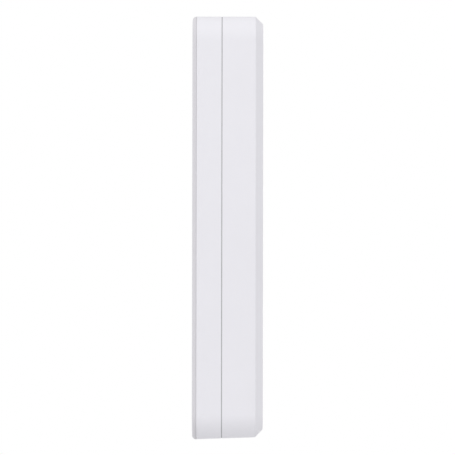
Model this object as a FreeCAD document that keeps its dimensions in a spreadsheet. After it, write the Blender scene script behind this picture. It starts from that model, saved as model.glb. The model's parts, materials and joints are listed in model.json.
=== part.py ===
import FreeCAD
import Part
import math
import os
import Sketcher
from FreeCAD import Placement, Rotation, Vector

# Video doorbell: a wall plate with hooks, and a doorbell that hangs on them.
# The origin is the middle of the wall plate's back. +Z is up and the front faces -Y.
# Depths are measured from the wall, so a depth of 9 mm is the plane y = -9.

doc = FreeCAD.newDocument("VideoDoorbell")
sheet = doc.addObject("Spreadsheet::Sheet", "Dims")

SIZES = {
    "body_width": 48.0,
    "body_height": 134.0,
    "body_depth": 22.3,
    "corner_radius": 8.0,
    "underside_slope": 0.0335,
    "face_chamfer": 2.4,
    "shell_wall": 1.8,
    "plate_thickness": 1.3,
    "plate_rounding": 1.2,
    "plate_gap": 0.05,
    "plate_relief": 0.4,
    "plate_relief_width": 38.0,
    "plate_relief_corner": 4.0,
    "upper_relief_height": 38.0,
    "upper_relief_z": 42.0,
    "lower_relief_height": 26.0,
    "lower_relief_z": -49.5,
    "plate_rib_x": 19.6,
    "plate_rib_width": 1.2,
    "plate_rib_height": 0.9,
    "plate_rib_length": 96.0,
    "seam_depth": 9.17,
    "seam_gap": 0.27,
    "tongue_inset": 1.15,
    "tongue_length": 1.4,
    "seal_recess": 0.12,
    "seal_web": 0.3,
    "seal_thickness": 0.6,
    "floor_depth": 4.9,
    "floor_thickness": 1.6,
    "face_thickness": 1.8,
    "board_depth": 10.0,
    "board_thickness": 1.0,
    "board_width": 41.0,
    "board_height": 126.0,
    "post_radius": 3.0,
    "screw_radius": 1.1,
    "screw_head_radius": 2.3,
    "screw_head_height": 1.3,
    "screw_clearance": 0.2,
    "screw_hole_depth": 7.5,
    "end_screw_x": 16.0,
    "end_screw_z": 60.0,
    "mid_screw_x": 17.0,
    "mid_screw_z": 9.0,
    "wall_slot_spacing": 100.0,
    "wall_slot_radius": 2.2,
    "wall_slot_length": 7.0,
    "slot_land_margin": 3.5,
    "cable_width": 26.0,
    "cable_height": 44.0,
    "cable_z": -8.0,
    "cable_corner": 5.0,
    "foam_margin": 3.5,
    "foam_corner": 8.0,
    "foam_thickness": 0.6,
    "hook_x": 12.0,
    "hook_z": 38.0,
    "hook_width": 6.0,
    "hook_lip": 3.2,
    "hook_stem": 2.0,
    "hook_thickness": 1.2,
    "hook_reach": 4.2,
    "catch_width": 12.0,
    "catch_height": 4.0,
    "catch_rib": 1.8,
    "catch_depth": 1.65,
    "catch_thickness": 1.2,
    "catch_rib_drop": 2.0,
    "tab_z": -57.5,
    "tab_thickness": 2.0,
    "tab_width": 10.0,
    "tab_reach": 3.3,
    "lock_depth": 3.1,
    "lock_radius": 1.2,
    "lock_clearance": 0.15,
    "lock_head_radius": 1.6,
    "lock_head_height": 1.5,
    "lock_length": 9.6,
    "lock_boss_width": 9.0,
    "lock_boss_height": 2.0,
    "lock_boss_lift": 2.0,
    "lock_hole_depth": 8.0,
    "lock_head_inset": 0.35,
    "lock_socket_radius": 0.8,
    "lock_socket_depth": 0.9,
    "camera_z": 45.0,
    "panel_width": 37.0,
    "panel_height": 48.0,
    "panel_corner": 5.0,
    "panel_z": 37.5,
    "panel_thickness": 1.0,
    "panel_ledge": 2.0,
    "panel_drop": 0.1,
    "fit_gap": 0.1,
    "round_end_slack": 0.001,
    "ring_outer": 8.4,
    "ring_inner": 6.5,
    "ring_flange": 1.2,
    "ring_flange_thickness": 0.9,
    "glass_drop": 1.2,
    "glass_thickness": 0.7,
    "glass_ledge": 0.6,
    "barrel_front_radius": 5.6,
    "barrel_rear_radius": 4.4,
    "lens_radius": 3.6,
    "aperture_radius": 2.2,
    "small_board_thickness": 0.8,
    "camera_board_width": 25.0,
    "camera_board_height": 18.0,
    "camera_board_corner": 1.5,
    "image_sensor_width": 7.0,
    "image_sensor_height": 6.0,
    "image_sensor_thickness": 0.8,
    "camera_frame_width": 30.0,
    "camera_frame_height": 23.0,
    "camera_frame_wall": 1.2,
    "camera_frame_depth": 6.2,
    "camera_frame_corner": 2.0,
    "frame_foot_x": 12.0,
    "frame_foot_z": 8.2,
    "frame_foot_width": 3.6,
    "frame_foot_height": 4.2,
    "frame_foot_depth": 1.6,
    "filter_box_lift": 3.2,
    "filter_box_depth": 2.0,
    "filter_box_height": 9.0,
    "filter_box_wall": 0.6,
    "filter_box_end": 1.0,
    "filter_room_height": 6.2,
    "filter_window_radius": 2.6,
    "filter_travel": 5.0,
    "filter_size": 5.8,
    "filter_thickness": 0.5,
    "filter_play": 0.6,
    "lamp_x": 11.8,
    "lamp_z": 7.6,
    "sensor_z": 21.0,
    "motion_width": 12.0,
    "motion_height": 6.0,
    "motion_flange": 1.0,
    "motion_flange_thickness": 0.5,
    "pipe_x": 12.0,
    "pipe_radius": 1.3,
    "pipe_clearance": 0.05,
    "mic_z": 7.0,
    "mic_hole_radius": 0.7,
    "mic_boot_radius": 2.6,
    "mic_height": 1.1,
    "button_z": -27.0,
    "button_radius": 10.3,
    "button_gap": 0.3,
    "button_travel": 0.8,
    "button_flange": 11.9,
    "button_flange_thickness": 1.2,
    "button_boss_radius": 2.6,
    "button_boss_height": 1.2,
    "button_switch_size": 6.0,
    "button_switch_height": 2.2,
    "plunger_radius": 1.5,
    "plunger_clearance": 0.08,
    "return_pad_outer": 8.6,
    "return_pad_inner": 6.4,
    "light_ring_outer": 12.4,
    "light_ring_flange": 14.0,
    "light_ring_flange_thickness": 0.8,
    "ring_lamp_count": 8,
    "ring_lamp_orbit": 11.6,
    "ring_lamp_size": 1.8,
    "ring_lamp_height": 0.9,
    "button_board_radius": 13.8,
    "button_stand_height": 2.0,
    "button_stand_wall": 1.2,
    "speaker_z": -51.0,
    "speaker_width": 24.0,
    "speaker_height": 17.0,
    "speaker_corner": 3.0,
    "speaker_wall": 2.0,
    "speaker_floor": 1.2,
    "speaker_lift": 3.0,
    "speaker_gasket_thickness": 1.2,
    "magnet_width": 12.0,
    "magnet_height": 7.0,
    "magnet_depth": 4.6,
    "mesh_thickness": 0.4,
    "slot_width": 18.0,
    "slot_height": 1.2,
    "slot_pitch": 2.6,
    "terminal_x": 7.5,
    "terminal_z": -17.0,
    "terminal_screw_radius": 1.5,
    "terminal_plate_size": 9.0,
    "terminal_plate_thickness": 0.8,
    "terminal_bush_radius": 2.48,
    "terminal_bush_clearance": 0.02,
    "port_z": 5.0,
    "reset_x": 9.0,
    "reset_radius": 1.1,
    "reset_clearance": 0.15,
    "can_size": 21.0,
    "can_height": 2.1,
    "can_z": 30.0,
    "can_wall": 0.3,
    "antenna_thickness": 0.3,
    "antenna_width": 7.5,
    "antenna_length": 34.0,
    "antenna_z": -14.0,
}

for row, (alias, value) in enumerate(SIZES.items(), 1):
    sheet.set(f"A{row}", alias)
    sheet.set(f"B{row}", str(value))
    sheet.setAlias(f"B{row}", alias)
doc.recompute()


class Size:
    """A length that knows its value and the sheet formula it comes from."""

    def __init__(self, value, text):
        self.value = value
        self.text = text

    def __add__(self, other):
        other = as_size(other)
        return Size(self.value + other.value, f"({self.text} + {other.text})")

    def __sub__(self, other):
        other = as_size(other)
        return Size(self.value - other.value, f"({self.text} - {other.text})")

    def __mul__(self, other):
        other = as_size(other)
        return Size(self.value * other.value, f"({self.text} * {other.text})")

    def __truediv__(self, other):
        other = as_size(other)
        return Size(self.value / other.value, f"({self.text} / {other.text})")

    def __neg__(self):
        return Size(-self.value, f"(0 - {self.text})")

    __radd__ = __add__
    __rmul__ = __mul__

    def __rsub__(self, other):
        return as_size(other) - self


def as_size(number):
    """Wrap a plain number, and pass a Size through."""
    if isinstance(number, Size):
        return number
    return Size(float(number), repr(float(number)))


class Sheet:
    """Reads a named size from the spreadsheet."""

    def __getattr__(self, alias):
        return Size(float(sheet.get(alias)), f"Dims.{alias}")


D = Sheet()
made = []


def bind(owner, prop, size):
    """Tie one property to its formula."""
    owner.setExpression(prop, as_size(size).text)


def start(label, x=0, z=0):
    """Begin a sub-part whose own centre line is at x, z."""
    body = doc.addObject("PartDesign::Body", label)
    body.Label = label
    body.AllowCompound = True
    bind(body, "Placement.Base.x", x)
    bind(body, "Placement.Base.z", z)
    made.append(body)
    return body


def sketch_on(body, role, across, up, out, turn=None):
    """Add a sketch on an origin plane, moved by three bound offsets."""
    base = next(f for f in body.Origin.OriginFeatures if f.Role == role)
    sketch = body.newObject("Sketcher::SketchObject", f"{body.Name}_sketch")
    sketch.AttachmentSupport = [(base, "")]
    sketch.MapMode = "FlatFace"
    if turn:
        sketch.AttachmentOffset = Placement(Vector(), turn)
    bind(sketch, "AttachmentOffset.Base.x", across)
    bind(sketch, "AttachmentOffset.Base.y", up)
    bind(sketch, "AttachmentOffset.Base.z", out)
    return sketch


def hold(sketch, kind, picks, size):
    """Add one dimension and tie it to its formula."""
    index = sketch.addConstraint(Sketcher.Constraint(kind, *picks, as_size(size).value))
    bind(sketch, f"Constraints[{index}]", size)


def draw_disc(sketch, radius):
    """A circle on the sketch's own origin."""
    circle = Part.Circle(Vector(), Vector(0, 0, 1), as_size(radius).value)
    index = sketch.addGeometry(circle, False)
    sketch.addConstraint(Sketcher.Constraint("Coincident", index, 3, -1, 1))
    hold(sketch, "Radius", (index,), radius)


def draw_slab(sketch, width, height, corner=0):
    """A rectangle on the sketch's own origin, with round corners if asked."""
    half_w = as_size(width).value / 2
    half_h = as_size(height).value / 2
    r = as_size(corner).value
    if not r:
        ends = [(-half_w, -half_h), (half_w, -half_h), (half_w, half_h), (-half_w, half_h)]
        lines = []
        for first, second in zip(ends, ends[1:] + ends[:1]):
            line = Part.LineSegment(Vector(*first, 0), Vector(*second, 0))
            lines.append(sketch.addGeometry(line, False))
        for first, second in zip(lines, lines[1:] + lines[:1]):
            sketch.addConstraint(Sketcher.Constraint("Coincident", first, 2, second, 1))
        sketch.addConstraint(Sketcher.Constraint("Symmetric", lines[0], 1, lines[2], 1, -1, 1))
        bottom, right, top, left = lines
    else:
        centres = [
            (half_w - r, r - half_h),
            (half_w - r, half_h - r),
            (r - half_w, half_h - r),
            (r - half_w, r - half_h),
        ]
        loop = []
        for turn, (cx, cz) in enumerate(centres):
            angle = (turn - 1) * math.pi / 2
            before = centres[turn - 1]
            out = Vector(math.cos(angle), math.sin(angle), 0) * r
            line = Part.LineSegment(Vector(*before, 0) + out, Vector(cx, cz, 0) + out)
            loop.append(sketch.addGeometry(line, False))
            circle = Part.Circle(Vector(cx, cz, 0), Vector(0, 0, 1), r)
            arc = Part.ArcOfCircle(circle, angle, angle + math.pi / 2)
            loop.append(sketch.addGeometry(arc, False))
        for first, second in zip(loop, loop[1:] + loop[:1]):
            sketch.addConstraint(Sketcher.Constraint("Tangent", first, 2, second, 1))
        for arc in loop[3::2]:
            sketch.addConstraint(Sketcher.Constraint("Equal", loop[1], arc))
        hold(sketch, "Radius", (loop[1],), corner)
        sketch.addConstraint(Sketcher.Constraint("Symmetric", loop[1], 3, loop[5], 3, -1, 1))
        bottom, right, top, left = loop[0::2]
    for level in (bottom, top):
        sketch.addConstraint(Sketcher.Constraint("Horizontal", level))
    for upright in (right, left):
        sketch.addConstraint(Sketcher.Constraint("Vertical", upright))
    hold(sketch, "DistanceX", (left, 1, right, 1), width)
    hold(sketch, "DistanceY", (bottom, 1, top, 1), height)


def front_sketch(body, depth, shape, x=0, z=0):
    """A sketch facing the front at one depth: a disc (1 size) or a slab (2 or 3)."""
    sketch = sketch_on(body, "XZ_Plane", x, z, depth)
    if len(shape) == 1:
        draw_disc(sketch, *shape)
    else:
        draw_slab(sketch, *shape)
    return sketch


def raise_from(body, depth, length, shape, x=0, z=0):
    """Add material from one depth toward the front."""
    pad = body.newObject("PartDesign::Pad", f"{body.Name}_pad")
    pad.Profile = front_sketch(body, depth, shape, x, z)
    bind(pad, "Length", length)
    return pad


def cut_from(body, depth, length, shape, x=0, z=0):
    """Take material away from one depth toward the front."""
    pocket = body.newObject("PartDesign::Pocket", f"{body.Name}_pocket")
    pocket.Profile = front_sketch(body, depth, shape, x, z)
    pocket.Reversed = True
    bind(pocket, "Length", length)
    return pocket


def turned(body, profile, x=0, z=0):
    """Add a turned solid about a front-to-back line. Profile points are (depth, radius)."""
    flip = Rotation(Vector(0, 1, 0), 180)
    sketch = sketch_on(body, "YZ_Plane", 0, z, x, flip)
    corners = [Vector(as_size(d).value, as_size(r).value, 0) for d, r in profile]
    lines = []
    for first, second in zip(corners, corners[1:] + corners[:1]):
        lines.append(sketch.addGeometry(Part.LineSegment(first, second), False))
    for first, second in zip(lines, lines[1:] + lines[:1]):
        sketch.addConstraint(Sketcher.Constraint("Coincident", first, 2, second, 1))
    for line, (depth, radius) in zip(lines, profile):
        hold(sketch, "DistanceX", (-1, 1, line, 1), depth)
        if as_size(radius).value:
            hold(sketch, "DistanceY", (-1, 1, line, 1), radius)
        else:
            sketch.addConstraint(Sketcher.Constraint("PointOnObject", line, 1, -1))
    spin = body.newObject("PartDesign::Revolution", f"{body.Name}_turn")
    spin.Profile = sketch
    spin.ReferenceAxis = (sketch, ["H_Axis"])
    spin.Angle = 360
    return spin


def block(label, depth, length, shape, x=0, z=0):
    """A sub-part that is one raised shape."""
    body = start(label, x, z)
    raise_from(body, depth, length, shape)
    return body


def round_edges(body, kind, size, test):
    """Fillet or chamfer the edges of the tip that pass a test on their bounds."""
    doc.recompute()
    tip = body.Tip
    names = [f"Edge{i}" for i, e in enumerate(tip.Shape.Edges, 1) if test(e.BoundBox)]
    dress = body.newObject(f"PartDesign::{kind}", f"{body.Name}_{kind.lower()}")
    dress.Base = (tip, names)
    bind(dress, "Radius" if kind == "Fillet" else "Size", size)
    return dress


def at_depth(depth):
    """A test for edges that lie in the plane at one depth."""
    y = -as_size(depth).value
    return lambda box: abs(box.YMin - y) < 0.001 and abs(box.YMax - y) < 0.001


def section(depth, inset=0):
    """The outline of the doorbell at one depth: its shape and the height of its centre."""
    rise = depth * D.underside_slope
    shape = (
        D.body_width - inset * 2,
        D.body_height - rise - inset * 2,
        D.corner_radius - inset,
    )
    return shape, rise / 2


def loft(body, near, near_inset, far, far_inset):
    """Add a solid between two outlines of the doorbell."""
    sketches = []
    for depth, inset in ((near, near_inset), (far, far_inset)):
        shape, z = section(as_size(depth), as_size(inset))
        sketches.append(front_sketch(body, depth, shape, 0, z))
    solid = body.newObject("PartDesign::AdditiveLoft", f"{body.Name}_loft")
    solid.Profile = sketches[0]
    solid.Sections = [sketches[1]]
    solid.Ruled = True


def hollow(body, depth, length, inset, at=None):
    """Cut a pocket with the doorbell's outline, less a wall."""
    shape, z = section(as_size(at if at is not None else depth + length), as_size(inset))
    cut_from(body, depth, length, shape, 0, z)


def ring_of(body, depth, length, outer, inner, at):
    """Add a band between two insets of the doorbell's outline."""
    shape, z = section(as_size(at), as_size(outer))
    raise_from(body, depth, length, shape, 0, z)
    shape, z = section(as_size(at), as_size(inner))
    cut_from(body, depth, length, shape, 0, z)


floor_front = D.floor_depth + D.floor_thickness
board_front = D.board_depth + D.board_thickness
face_back = D.body_depth - D.face_thickness
front_shell_rear = D.seam_depth + D.seam_gap
tongue_tip = D.seam_depth + D.tongue_length
rear_shell_back = D.plate_thickness + D.plate_gap
SCREW_SPOTS = [
    (D.end_screw_x, D.end_screw_z),
    (-D.end_screw_x, D.end_screw_z),
    (D.mid_screw_x, D.mid_screw_z),
    (-D.mid_screw_x, D.mid_screw_z),
    (D.end_screw_x, -D.end_screw_z),
    (-D.end_screw_x, -D.end_screw_z),
]
HOOK_SPOTS = [
    (D.hook_x, D.hook_z),
    (-D.hook_x, D.hook_z),
    (D.hook_x, -D.hook_z),
    (-D.hook_x, -D.hook_z),
]

# Wall plate: a thin plate with four hooks that point up, two slots for wall screws,
# an opening for the wires and a tab that the locking screw passes through.
# Its back is cored out a little above and below the opening, but not round the slots.
plate = start("wall_plate")
raise_from(plate, 0, D.plate_thickness, (D.body_width, D.body_height, D.corner_radius))
round_edges(plate, "Fillet", D.plate_rounding, at_depth(0))
cable = (D.cable_width, D.cable_height, D.cable_corner)
cut_from(plate, 0, D.plate_thickness, cable, 0, D.cable_z)
foam_width = D.cable_width + D.foam_margin * 2
foam_height = D.cable_height + D.foam_margin * 2
cut_from(plate, 0, D.foam_thickness, (foam_width, foam_height, D.foam_corner), 0, D.cable_z)
slot_corner = D.wall_slot_radius - D.round_end_slack
slot = (D.wall_slot_radius * 2, D.wall_slot_length, slot_corner)
slot_land = tuple(size + D.slot_land_margin * 2 for size in slot[:2]) + (slot_corner + D.slot_land_margin,)
for side, relief_height, relief_z in (
    (1, D.upper_relief_height, D.upper_relief_z),
    (-1, D.lower_relief_height, D.lower_relief_z),
):
    slot_z = D.wall_slot_spacing / 2 * side
    relief = (D.plate_relief_width, relief_height, D.plate_relief_corner)
    cut_from(plate, 0, D.plate_relief, relief, 0, relief_z)
    raise_from(plate, 0, D.plate_relief, slot_land, 0, slot_z)
    cut_from(plate, 0, D.plate_thickness, slot, 0, slot_z)
for x, z in HOOK_SPOTS:
    stem = (D.hook_width, D.hook_stem)
    raise_from(plate, D.plate_thickness, D.hook_reach - D.plate_thickness, stem, x, z - D.hook_stem / 2)
    lip = (D.hook_width, D.hook_lip)
    raise_from(plate, D.hook_reach - D.hook_thickness, D.hook_thickness, lip, x, z + D.hook_lip / 2)
tab_shape = (D.tab_width, D.tab_thickness)
raise_from(plate, D.plate_thickness, D.tab_reach, tab_shape, 0, D.tab_z)
for side in (1, -1):
    rib = (D.plate_rib_width, D.plate_rib_length)
    raise_from(plate, D.plate_thickness, D.plate_rib_height, rib, D.plate_rib_x * side, 0)
lock_sketch = sketch_on(plate, "XY_Plane", 0, -D.lock_depth, D.tab_z - D.tab_thickness)
draw_disc(lock_sketch, D.lock_radius + D.lock_clearance)
lock_hole = plate.newObject("PartDesign::Pocket", "wall_plate_lock_hole")
lock_hole.Profile = lock_sketch
lock_hole.Reversed = True
bind(lock_hole, "Length", D.tab_thickness * 2)

# Foam seal in the back of the plate, round the wires.
foam = start("cable_foam", 0, D.cable_z)
foam_outer = (foam_width - D.fit_gap * 2, foam_height - D.fit_gap * 2, D.foam_corner - D.fit_gap)
foam_inner = (D.cable_width + D.fit_gap * 4, D.cable_height + D.fit_gap * 4, D.cable_corner + D.fit_gap * 2)
raise_from(foam, 0, D.foam_thickness, foam_outer)
cut_from(foam, 0, D.foam_thickness, foam_inner)

# Rear housing: a rim, a floor set into it, catches for the hooks and posts for the board.
rear = start("rear_housing")
loft(rear, rear_shell_back, 0, D.seam_depth, 0)
hollow(rear, rear_shell_back, D.floor_depth - rear_shell_back, D.shell_wall)
hollow(rear, floor_front, D.seam_depth - floor_front, D.shell_wall, tongue_tip)
ring_of(rear, D.seam_depth, D.tongue_length, D.tongue_inset, D.shell_wall, tongue_tip)
for x, z in HOOK_SPOTS:
    catch = (D.catch_width, D.catch_height)
    raise_from(rear, D.catch_depth, D.catch_thickness, catch, x, z + D.catch_height / 2)
    for side in (1, -1):
        rib_x = x + (D.catch_width - D.catch_rib) / 2 * side
        rib = (D.catch_rib, D.catch_height + D.catch_rib_drop)
        rib_z = z + (D.catch_height - D.catch_rib_drop) / 2
        raise_from(rear, D.catch_depth, D.floor_depth - D.catch_depth, rib, rib_x, rib_z)
for x, z in SCREW_SPOTS:
    raise_from(rear, floor_front, D.board_depth - floor_front, (D.post_radius,), x, z)
    cut_from(rear, D.floor_depth, D.board_depth - D.floor_depth, (D.screw_radius + D.screw_clearance,), x, z)
lock_boss = (D.lock_boss_width, D.lock_boss_height)
lock_boss_z = D.lock_boss_lift - D.body_height / 2
raise_from(rear, rear_shell_back, D.floor_depth - rear_shell_back, lock_boss, 0, lock_boss_z)
below = 1.0
foot = sketch_on(rear, "XY_Plane", 0, -D.lock_depth, -D.body_height / 2 - below)
draw_disc(foot, D.lock_radius + D.fit_gap)
foot_hole = rear.newObject("PartDesign::Pocket", "rear_housing_lock_hole")
foot_hole.Profile = foot
foot_hole.Reversed = True
bind(foot_hole, "Length", D.lock_hole_depth)
sink = sketch_on(rear, "XY_Plane", 0, -D.lock_depth, -D.body_height / 2 - below)
draw_disc(sink, D.lock_head_radius + D.fit_gap)
sink_hole = rear.newObject("PartDesign::Pocket", "rear_housing_lock_recess")
sink_hole.Profile = sink
sink_hole.Reversed = True
bind(sink_hole, "Length", below + D.lock_head_inset + D.lock_head_height + 0.05)
for side in (1, -1):
    spot = D.terminal_x * side
    bush_hole = D.terminal_bush_radius + D.terminal_bush_clearance
    cut_from(rear, D.floor_depth, D.floor_thickness, (bush_hole,), spot, D.terminal_z)
cut_from(rear, D.floor_depth, D.floor_thickness, (9.8, 4.0, 1.9), 0, D.port_z)
cut_from(rear, D.floor_depth, D.floor_thickness, (D.reset_radius + D.reset_clearance,), D.reset_x, D.port_z)

# Rubber seal moulded over the rear housing's tongue: a lip that fills the seam, a web
# up the outside of the tongue, and a bead on its tip that the front housing squeezes.
seal = start("seam_gasket")
rebate_inset = D.tongue_inset - D.seal_web
web_inset = rebate_inset + 0.02
ring_of(seal, D.seam_depth, D.seam_gap, D.seal_recess, D.tongue_inset, D.seam_depth)
web_length = tongue_tip - front_shell_rear
ring_of(seal, front_shell_rear, web_length, web_inset, D.tongue_inset, tongue_tip)
ring_of(seal, tongue_tip, D.seal_thickness, web_inset, D.shell_wall - 0.05, tongue_tip)

# Front housing: the deep shell with a 45 degree chamfer round its face.
front = start("front_housing")
chamfer_start = D.body_depth - D.face_chamfer
loft(front, front_shell_rear, 0, chamfer_start, 0)
loft(front, chamfer_start, 0, D.body_depth, D.face_chamfer)
hollow(front, front_shell_rear, face_back - front_shell_rear, D.shell_wall)
rebate_end = tongue_tip + D.seal_thickness
hollow(front, front_shell_rear, rebate_end - front_shell_rear, rebate_inset, tongue_tip)
for x, z in SCREW_SPOTS:
    raise_from(front, board_front, face_back - board_front, (D.post_radius,), x, z)
    cut_from(front, board_front, D.screw_hole_depth, (D.screw_radius + 0.01,), x, z)
panel_seat = (
    D.panel_width + D.fit_gap * 2,
    D.panel_height + D.fit_gap * 2,
    D.panel_corner + D.fit_gap,
)
panel_back = D.body_depth - D.panel_drop - D.panel_thickness
cut_from(front, panel_back, D.panel_thickness + D.panel_drop, panel_seat, 0, D.panel_z)
panel_hole = (
    D.panel_width - D.panel_ledge * 2,
    D.panel_height - D.panel_ledge * 2,
    D.panel_corner - D.panel_ledge,
)
cut_from(front, face_back, D.face_thickness, panel_hole, 0, D.panel_z)
cut_from(front, face_back, D.face_thickness, (D.light_ring_outer + 0.05,), 0, D.button_z)
cut_from(front, face_back, D.face_thickness, (D.mic_hole_radius,), 0, D.mic_z)
for step in (-2, -1, 0, 1, 2):
    grille = (D.slot_width, D.slot_height, D.slot_height / 2 - D.round_end_slack)
    cut_from(front, face_back, D.face_thickness, grille, 0, D.speaker_z + D.slot_pitch * step)

# Camera panel: the dark window over the lens, the infrared lamps and the sensors.
panel = start("camera_panel", 0, D.panel_z)
raise_from(panel, panel_back, D.panel_thickness, (D.panel_width, D.panel_height, D.panel_corner))
lens_z = D.camera_z - D.panel_z
sensor_z = D.sensor_z - D.panel_z
cut_from(panel, panel_back, D.panel_thickness, (D.ring_outer + 0.05,), 0, lens_z)
motion_hole = (D.motion_width + D.fit_gap, D.motion_height + D.fit_gap, D.motion_height / 2 + 0.04)
cut_from(panel, panel_back, D.panel_thickness, motion_hole, 0, sensor_z)
pipe_hole = (D.pipe_radius + D.pipe_clearance,)
for side in (1, -1):
    cut_from(panel, panel_back, D.panel_thickness, pipe_hole, D.pipe_x * side, sensor_z)

# Camera, from the front: trim ring, cover glass, lens, barrel, night filter, sensor, board.
ring = start("lens_ring", 0, D.camera_z)
ring_face = D.body_depth - 0.02
glass_seat = D.body_depth - D.glass_drop
flange_back = panel_back - D.ring_flange_thickness
turned(ring, [
    (flange_back, D.ring_inner - D.glass_ledge),
    (flange_back, D.ring_outer + D.ring_flange),
    (panel_back, D.ring_outer + D.ring_flange),
    (panel_back, D.ring_outer),
    (ring_face - 0.25, D.ring_outer),
    (ring_face, D.ring_outer - 0.25),
    (ring_face, D.ring_inner + 0.5),
    (D.body_depth - 0.5, D.ring_inner),
    (glass_seat, D.ring_inner),
    (glass_seat, D.ring_inner - D.glass_ledge),
])
block("lens_cover", glass_seat, D.glass_thickness, (D.ring_inner - 0.02,), 0, D.camera_z)
filter_back = board_front + D.filter_box_lift
barrel_back = filter_back + D.filter_box_depth
lens_seat = glass_seat - 1.6
barrel = start("lens_barrel", 0, D.camera_z)
turned(barrel, [
    (barrel_back, D.aperture_radius),
    (barrel_back, D.barrel_rear_radius),
    (barrel_back + 1.8, D.barrel_rear_radius),
    (barrel_back + 1.8, D.barrel_front_radius),
    (glass_seat - 0.5, D.barrel_front_radius),
    (glass_seat - 0.1, D.barrel_front_radius - 0.4),
    (glass_seat - 0.1, 4.4),
    (glass_seat - 0.8, D.lens_radius),
    (lens_seat, D.lens_radius),
    (lens_seat, D.aperture_radius),
])
element = start("lens_element", 0, D.camera_z)
turned(element, [
    (lens_seat, 0),
    (lens_seat, D.lens_radius - 0.02),
    (lens_seat + 0.4, D.lens_radius - 0.02),
    (glass_seat - 0.85, 3.0),
    (glass_seat - 0.55, 2.2),
    (glass_seat - 0.38, 1.3),
    (glass_seat - 0.3, 0),
])
filter_box = start("filter_housing", 0, D.camera_z)
filter_room = D.filter_size + D.filter_travel + D.filter_play
filter_box_width = filter_room + D.filter_box_end * 2
room_back = filter_back + D.filter_box_wall
room_depth = D.filter_box_depth - D.filter_box_wall * 2
filter_box_shape = (filter_box_width, D.filter_box_height)
raise_from(filter_box, filter_back, D.filter_box_depth, filter_box_shape, D.filter_travel / 2, 0)
cut_from(filter_box, room_back, room_depth, (filter_room, D.filter_room_height), D.filter_travel / 2, 0)
cut_from(filter_box, filter_back, D.filter_box_wall, (D.filter_window_radius,))
cut_from(filter_box, room_back + room_depth, D.filter_box_wall, (D.aperture_radius,))
pane_back = room_back + (room_depth - D.filter_thickness) / 2
block("ir_cut_filter", pane_back, D.filter_thickness, (D.filter_size, D.filter_size), 0, D.camera_z)
sensor_back = filter_back - D.image_sensor_thickness
sensor_shape = (D.image_sensor_width, D.image_sensor_height)
block("image_sensor", sensor_back, D.image_sensor_thickness, sensor_shape, 0, D.camera_z)
camera_board = start("camera_board", 0, D.camera_z)
camera_board_back = sensor_back - D.small_board_thickness
camera_board_shape = (D.camera_board_width, D.camera_board_height, D.camera_board_corner)
raise_from(camera_board, camera_board_back, D.small_board_thickness, camera_board_shape)
camera_frame = start("camera_frame", 0, D.camera_z)
frame_top = board_front + D.camera_frame_depth
outer_frame = (D.camera_frame_width, D.camera_frame_height, D.camera_frame_corner)
inner_frame = (
    D.camera_frame_width - D.camera_frame_wall * 2,
    D.camera_frame_height - D.camera_frame_wall * 2,
    D.camera_frame_corner - D.camera_frame_wall,
)
raise_from(camera_frame, board_front, frame_top - board_front, outer_frame)
cut_from(camera_frame, board_front, frame_top - board_front, inner_frame)
for side_x in (1, -1):
    for side_z in (1, -1):
        foot_shape = (D.frame_foot_width, D.frame_foot_height)
        foot_x = D.frame_foot_x * side_x
        foot_z = D.frame_foot_z * side_z
        raise_from(camera_frame, board_front, D.frame_foot_depth, foot_shape, foot_x, foot_z)

# Night lamps on their own board round the lens.
lamp_board = start("lamp_board", 0, D.camera_z)
raise_from(lamp_board, frame_top, D.small_board_thickness, outer_frame)
cut_from(lamp_board, frame_top, D.small_board_thickness, (D.barrel_front_radius + 0.3,))
lamps = start("ir_lamps", 0, D.camera_z)
for side_x in (1, -1):
    for side_z in (1, -1):
        base = frame_top + D.small_board_thickness
        x = D.lamp_x * side_x
        z = D.lamp_z * side_z
        turned(lamps, [
            (base, 0),
            (base, 1.9),
            (base + 0.6, 1.9),
            (base + 0.6, 1.5),
            (base + 1.7, 1.5),
            (base + 2.4, 1.1),
            (base + 2.7, 0),
        ], x, z)

# Sensors under the lens: movement window and sensor, light pipes and their parts.
pir_window = start("motion_lens", 0, D.sensor_z)
motion_corner = D.motion_height / 2 - D.round_end_slack
motion_shape = (D.motion_width, D.motion_height, motion_corner)
motion_flange = (
    D.motion_width + D.motion_flange * 2,
    D.motion_height + D.motion_flange * 2,
    motion_corner + D.motion_flange,
)
flange_depth = panel_back - D.motion_flange_thickness
raise_from(pir_window, panel_back, D.panel_thickness - D.panel_drop, motion_shape)
raise_from(pir_window, flange_depth, D.motion_flange_thickness, motion_flange)
pir = start("motion_sensor", 0, D.sensor_z)
turned(pir, [
    (board_front, 0),
    (board_front, 4.6),
    (board_front + 0.8, 4.6),
    (board_front + 0.8, 4.1),
    (board_front + 4.4, 4.1),
    (board_front + 4.4, 0),
])
pipes = start("light_pipes", 0, D.sensor_z)
for side in (1, -1):
    spot = D.pipe_x * side
    pipe_back = board_front + 1.3
    raise_from(pipes, pipe_back, D.body_depth - 0.15 - pipe_back, (D.pipe_radius,), spot, 0)
sights = start("status_light_and_sensor", 0, D.sensor_z)
for side in (1, -1):
    raise_from(sights, board_front, 0.9, (2.2, 2.0), D.pipe_x * side, 0)

# Microphone and the rubber tube that joins it to its hole.
block("microphone", board_front, D.mic_height, (4, 3), 0, D.mic_z)
boot = start("microphone_boot", 0, D.mic_z)
boot_back = board_front + D.mic_height
raise_from(boot, boot_back, face_back - boot_back, (D.mic_boot_radius,))
cut_from(boot, boot_back, face_back - boot_back, (D.mic_hole_radius,))

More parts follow.
